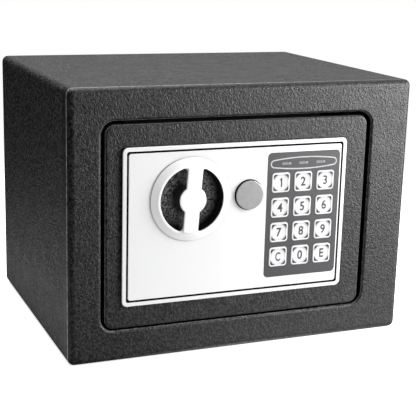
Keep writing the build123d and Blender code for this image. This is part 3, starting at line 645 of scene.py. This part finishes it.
def lamp_outline():
    """A line round the lamps: bowed above and below, with a round at each end."""
    straight, belly = OUTLINE_HALF - OUTLINE_END, OUTLINE_MIDDLE - OUTLINE_END
    bow = (straight ** 2 + belly ** 2) / (2 * belly)
    lean = math.degrees(math.asin(straight / bow))
    top = arc(0, OUTLINE_MIDDLE - bow, bow, 90 + lean, 90 - lean, 24)
    right = arc(straight, 0, OUTLINE_END, 90 - lean, -90 + lean, 12)
    bottom = arc(0, bow - OUTLINE_MIDDLE, bow, -90 + lean, -90 - lean, 24)
    left = arc(-straight, 0, OUTLINE_END, 270 - lean, 90 + lean, 12)
    return band(top + right[1:-1] + bottom + left[1:-1], OUTLINE_WIDTH, 2 * PRINT_PROUD)


def dash_mesh():
    """A short plain dash."""
    corners = [(-1, -1), (1, -1), (1, 1), (-1, 1)]
    return raised([[(x * DASH_HALF, z * DASH_HALF_HEIGHT) for x, z in corners]], 2 * PRINT_PROUD)


def dress_panel():
    """The outline round the lamps, and a dash at the left of each lamp."""
    centre_x, _, front = face_centre("keypad_panel")
    lamp_z = face_centre("indicator_lamps")[1]
    prints = [("lamp_outline", lamp_outline(), centre_x, PRINT_PALE)]
    prints += [(f"lamp_dash_{n}", dash_mesh(), x - LAMP_TO_DASH, PRINT_DASH)
               for n, x in enumerate(LAMP_XS, start=1)]
    for name, mesh, x, ink in prints:
        mesh.transform(Matrix.Translation((x, front - PRINT_PROUD, lamp_z)))
        add_piece(name, mesh, ink, "door")


# ---------------------------------------------------------------- floor, world, lights, camera
FLOOR_SIZE, FLOOR_DROP = 4.0, 0.2 * MM
GLOW_SEEN, GLOW_SCATTERED, GLOW_RIGHT, GLOW_BESIDE, GLOW_STRIP = 0.55, 0.60, 0.58, 0.58, 0.9
GLOW_FALL = 1.5

# The distances from the middle across which the glow and the floor itself fade out
GLOW_REACH, FLOOR_FADE = (0.14, 0.46), (0.32, 0.62)

# The x and y across which the glow changes: on the whole, at the cabinet's left, and in a strip
# along its front
ACROSS_X = (-0.14, 0.14)
BESIDE_X, BESIDE_Y = (-0.135, -0.112), (-0.14, -0.08)
STRIP_X, STRIP_NEAR_Y, STRIP_FAR_Y = (-0.08, 0.03), (-0.125, -0.110), (-0.100, -0.092)

# The world's light grows with how far a direction faces the bright side, from -1 to 1
BRIGHT_SIDE = Vector((0.80, 0.25, 0.45)).normalized()
AMBIENT, SKY_FACING, SKY_LIGHT = (0.517, 1.128), (0.10, 0.85), (0.02, 0.80)

CAMERA_PLACE, CAMERA_LENS = (-0.2737, -0.6833, 0.2528), 92.8
CAMERA_TURN, CAMERA_RISE, CAMERA_ROLL = (math.radians(a) for a in (-22.63, 13.86, 1.55))


def floor_white(name):
    """A white floor that fades out into the backdrop, with a soft glow close to the cabinet."""
    look = Shader(name, grey(0.85), 0.9, Emission_Color=grey(1.0))
    rays = look.node("ShaderNodeLightPath").outputs
    look.color(rays["Is Camera Ray"], grey(0.05), grey(0.85), 0.0, 1.0)
    x, y, _ = look.axes()
    away = look.vectors("DISTANCE", look.point(), (0, 0, 0))
    near = look.math("POWER", look.ramp(away, *GLOW_REACH, 1.0, 0.0), GLOW_FALL)
    beside = look.times(look.ramp(x, *BESIDE_X, GLOW_BESIDE, 0.0), look.ramp(y, *BESIDE_Y))
    glow = look.times(near, look.plus(look.ramp(x, *ACROSS_X, 0.0, GLOW_RIGHT), beside))
    strip = look.times(look.ramp(y, *STRIP_NEAR_Y), look.ramp(y, *STRIP_FAR_Y, 1.0, 0.0))
    strip = look.times(strip, look.ramp(x, *STRIP_X, 0.0, GLOW_STRIP))
    for share, ray in ((strip, "Glossy"), (GLOW_SEEN, "Camera"), (GLOW_SCATTERED, "Diffuse")):
        glow = look.plus(glow, look.times(rays[f"Is {ray} Ray"], share))
    look.set(Emission_Strength=glow, Alpha=look.ramp(away, *FLOOR_FADE, 1.0, 0.0))
    return look.material


def lay_floor():
    bpy.ops.mesh.primitive_plane_add(size=FLOOR_SIZE, location=(0, 0, -FLOOR_DROP))
    floor = bpy.context.object
    floor.name = "floor"
    floor.data.materials.append(floor_white("floor_white"))


def light_world():
    """White to the camera, and a soft light that grows towards the bright side."""
    world = bpy.data.worlds.new("studio")
    bpy.context.scene.world = world
    world.use_nodes = True
    world.node_tree.nodes.clear()
    sky = Nodes(world.node_tree)
    rays = sky.node("ShaderNodeLightPath").outputs
    facing = sky.vectors("DOT_PRODUCT", sky.node("ShaderNodeTexCoord").outputs["Generated"],
                         BRIGHT_SIDE)
    ambient = sky.times(rays["Is Diffuse Ray"], sky.ramp(facing, -1.0, 1.0, *AMBIENT))
    strength = sky.plus(ambient, sky.ramp(facing, *SKY_FACING, *SKY_LIGHT))
    light = sky.node("ShaderNodeBackground", Color=grey(0.8), Strength=strength)
    backdrop = sky.node("ShaderNodeBackground", Color=grey(1.0))
    mix = sky.node("ShaderNodeMixShader", Fac=rays["Is Camera Ray"])
    sky.feed(light.outputs["Background"], mix.inputs[1])
    sky.feed(backdrop.outputs["Background"], mix.inputs[2])
    sky.node("ShaderNodeOutputWorld", Surface=mix.outputs["Shader"])


def area_light(name, place, target, side, watts, diffuse=True):
    """A square lamp aimed at target, which lights only reflections if diffuse is False."""
    data = bpy.data.lights.new(name, "AREA")
    data.size = side
    data.energy = watts
    lamp = bpy.data.objects.new(name, data)
    bpy.context.scene.collection.objects.link(lamp)
    lamp.location = place
    lamp.rotation_euler = (Vector(target) - lamp.location).to_track_quat("-Z", "Y").to_euler()
    lamp.visible_diffuse = diffuse


def add_camera():
    """A camera turned from straight ahead, raised and rolled, its place in metres."""
    back = Vector((math.sin(CAMERA_TURN) * math.cos(CAMERA_RISE),
                   -math.cos(CAMERA_TURN) * math.cos(CAMERA_RISE), math.sin(CAMERA_RISE)))
    turn = back.to_track_quat("Z", "Y").to_matrix() @ Matrix.Rotation(CAMERA_ROLL, 3, "Z")
    data = bpy.data.cameras.new("camera")
    data.lens = CAMERA_LENS
    eye = bpy.data.objects.new("camera", data)
    bpy.context.scene.collection.objects.link(eye)
    eye.matrix_world = Matrix.Translation(CAMERA_PLACE) @ turn.to_4x4()
    bpy.context.scene.camera = eye


# ---------------------------------------------------------------- the scene
dress_frame()
for key, text in LEGENDS.items():
    dress_key(key, text)
dress_panel()

bpy.context.scene.view_settings.view_transform = "Standard"
lay_floor()
light_world()
area_light("key_light", (0.46, -0.36, 0.30), (0.09, -0.09, 0.11), 0.30, 3.2)
area_light("gleam_light", (0.52, -0.50, 0.14), (0.06, -0.09, 0.09), 0.35, 5.2, diffuse=False)
area_light("top_light", (-0.12, 0.4, 1.5), (-0.04, 0.0, 0.1), 1.2, 23.0)
add_camera()
